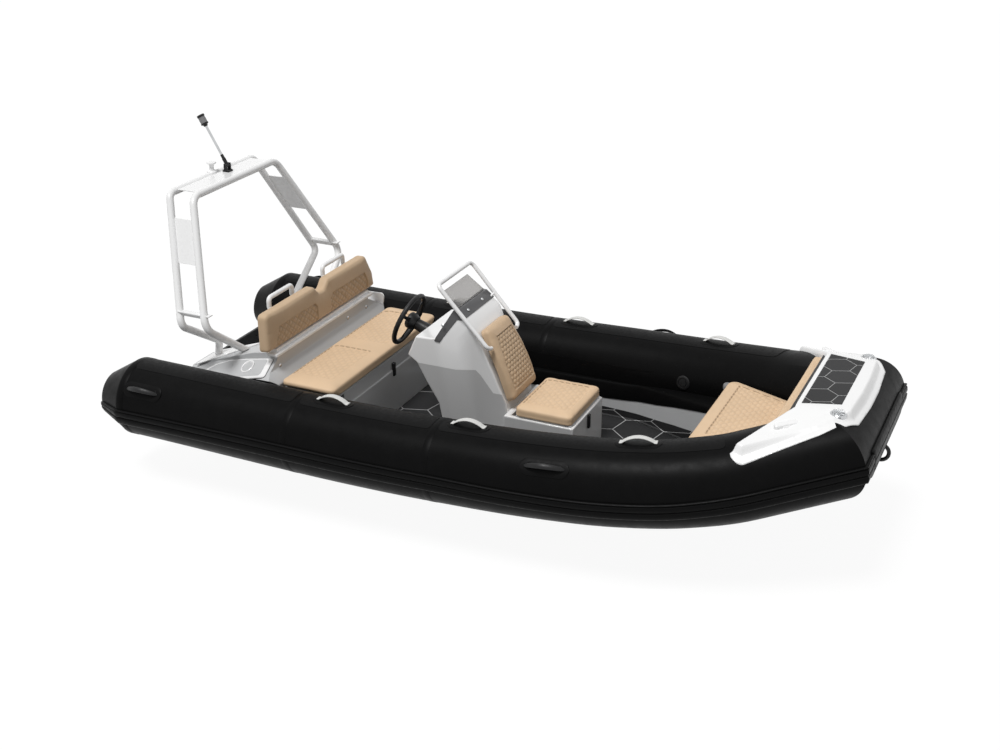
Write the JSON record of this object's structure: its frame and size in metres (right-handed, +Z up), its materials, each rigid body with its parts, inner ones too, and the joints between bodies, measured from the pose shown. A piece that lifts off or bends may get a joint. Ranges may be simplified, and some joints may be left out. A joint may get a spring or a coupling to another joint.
{
  "type": "inflatable rib boat",
  "caption": "Open inflatable boat with a rigid V hull, black side tubes, tan cushioned seats, a centre console with wheel and an aft arch.",
  "frame": {"origin": "on the centreline at the aft face of the transom, at the level of the water that the boat floats on", "axes": "+X towards the bow, +Y to port, +Z up"},
  "size_m": [5.0279, 2.3618, 2.2666],
  "materials": {
    "tube_fabric": "satin black coated fabric",
    "strake_rubber": "matt black rubber",
    "hull_metal": "light grey powder coat",
    "white_metal": "gloss white powder coat",
    "moulding": "gloss off-white moulding",
    "dark_metal": "satin dark grey",
    "black_plastic": "matt black",
    "bright_metal": "bright steel",
    "lens": "clear moulded lens",
    "smoked_screen": "smoked clear sheet",
    "foam": "matt black deck foam with pale lines",
    "strap": "pale grey moulded strap",
    "upholstery": "tan marine upholstery, quilted"
  },
  "bodies": {
    "boat": {"tube_port": "tube_fabric", "tube_starboard": "tube_fabric", "strake_port": "strake_rubber", "strake_starboard": "strake_rubber", "nose_fender": "strake_rubber", "hull": "hull_metal", "transom_pad": "black_plastic", "stern_deck": "hull_metal", "aft_locker": "hull_metal", "aft_seat_latch": "black_plastic", "aft_backrest": "upholstery", "backrest_rail": "white_metal", "backrest_handles": "white_metal", "arch_feet": "white_metal", "arch_hoop_forward": "white_metal", "arch_hoop_aft": "white_metal", "arch_side_plates": "white_metal", "arch_brackets": "white_metal", "arch_top_plate": "white_metal", "tow_bollard": "white_metal", "light_base": "black_plastic", "console": "moulding", "screen_bracket": "dark_metal", "windscreen": "smoked_screen", "grab_rail": "white_metal", "console_cushion": "upholstery", "helm": "black_plastic", "jockey_box": "moulding", "jockey_latch": "black_plastic", "bow_locker": "hull_metal", "bow_backpad": "upholstery", "bow_cover": "moulding", "bow_step_mat": "foam", "bow_lamps": "bright_metal", "bow_cleats": "white_metal", "tow_ring": "black_plastic", "tube_handles_port": "strap", "tube_handles_starboard": "strap", "tube_grips_port": "strake_rubber", "tube_grips_starboard": "strake_rubber", "floor_mat": "foam"},
    "steering": {"steering_wheel": "black_plastic"},
    "aft_seat": {"aft_seat_lid": "hull_metal", "aft_seat_cushion": "upholstery"},
    "jockey_seat": {"jockey_lid": "moulding", "jockey_cushion": "upholstery"},
    "bow_seat": {"bow_seat_lid": "hull_metal", "bow_cushion": "upholstery"},
    "mast": {"light_mast": "bright_metal", "light_head": "lens"}
  },
  "joints": [
    {"name": "steering_turn", "type": "hinge", "parent": "boat", "child": "steering", "pos_m": [1.362, 0, 0.757], "axis": [-0.9272, 0, 0.3746], "range_deg": [-540, 540]},
    {"name": "aft_seat_hinge", "type": "hinge", "parent": "boat", "child": "aft_seat", "pos_m": [0.797, 0, 0.512], "axis": [0, -1, 0], "range_deg": [0, 70]},
    {"name": "jockey_seat_hinge", "type": "hinge", "parent": "boat", "child": "jockey_seat", "pos_m": [2.252, 0, 0.402], "axis": [0, -1, 0], "range_deg": [0, 75]},
    {"name": "bow_seat_hinge", "type": "hinge", "parent": "boat", "child": "bow_seat", "pos_m": [3.975, 0, 0.522], "axis": [0, 1, 0], "range_deg": [0, 60]},
    {"name": "light_mast_fold", "type": "hinge", "parent": "boat", "child": "mast", "pos_m": [-0.065, 0.07, 1.634], "axis": [0, 1, 0], "range_deg": [-55, 30]}
  ]
}
